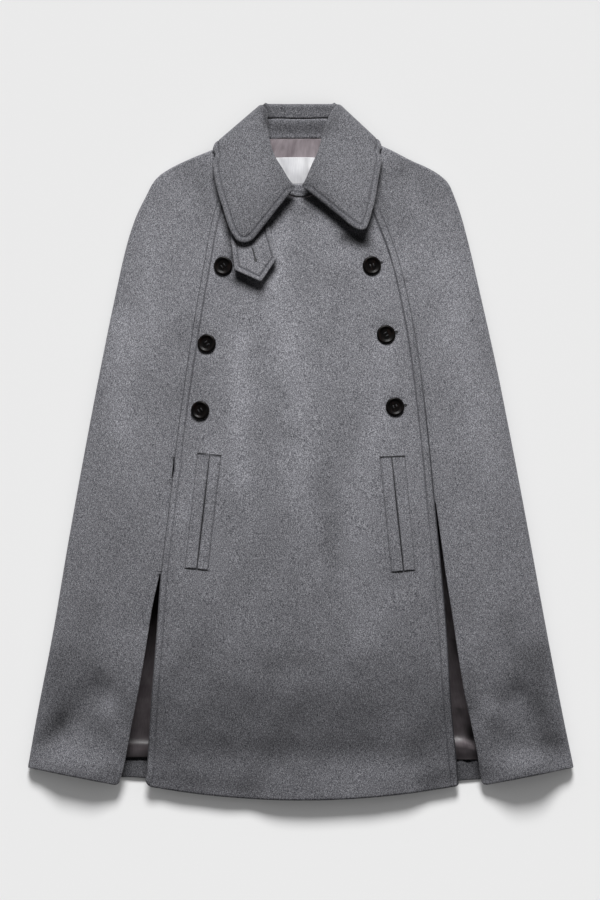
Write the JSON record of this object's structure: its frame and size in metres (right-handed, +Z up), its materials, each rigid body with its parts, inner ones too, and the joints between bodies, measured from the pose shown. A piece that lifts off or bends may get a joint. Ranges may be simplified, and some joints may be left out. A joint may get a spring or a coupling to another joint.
{
  "type": "wool cape coat",
  "caption": "Wool cape coat laid flat, front up, with a pointed collar, throat tab, two button columns, welt pockets and open side slits.",
  "frame": {"origin": "centre of the underside of the coat's bounding box, on the surface it lies on", "axes": "+Z up from the surface towards the front of the coat, +Y from the hem towards the collar, +X across the coat"},
  "size_m": [0.6983, 0.893, 0.0702],
  "materials": {
    "wool": "grey melange wool melton, matt with a short nap",
    "lining": "dark taupe satin lining",
    "label": "plain off-white satin, bare",
    "button": "polished near-black horn look"
  },
  "bodies": {
    "root": {"front_over": "wool", "front_under": "wool", "wing_minus_x": "wool", "wing_plus_x": "wool", "back": "wool", "back_lining": "lining", "label": "label", "collar_fall": "wool", "collar_stand": "wool", "neck_band": "wool", "throat_tab": "wool", "welt_minus_x_outer": "wool", "welt_minus_x_inner": "wool", "welt_plus_x_inner": "wool", "welt_plus_x_outer": "wool", "button_minus_x_upper": "button", "button_minus_x_middle": "button", "button_minus_x_lower": "button", "button_plus_x_upper": "button", "button_plus_x_middle": "button", "button_plus_x_lower": "button"}
  },
  "joints": []
}
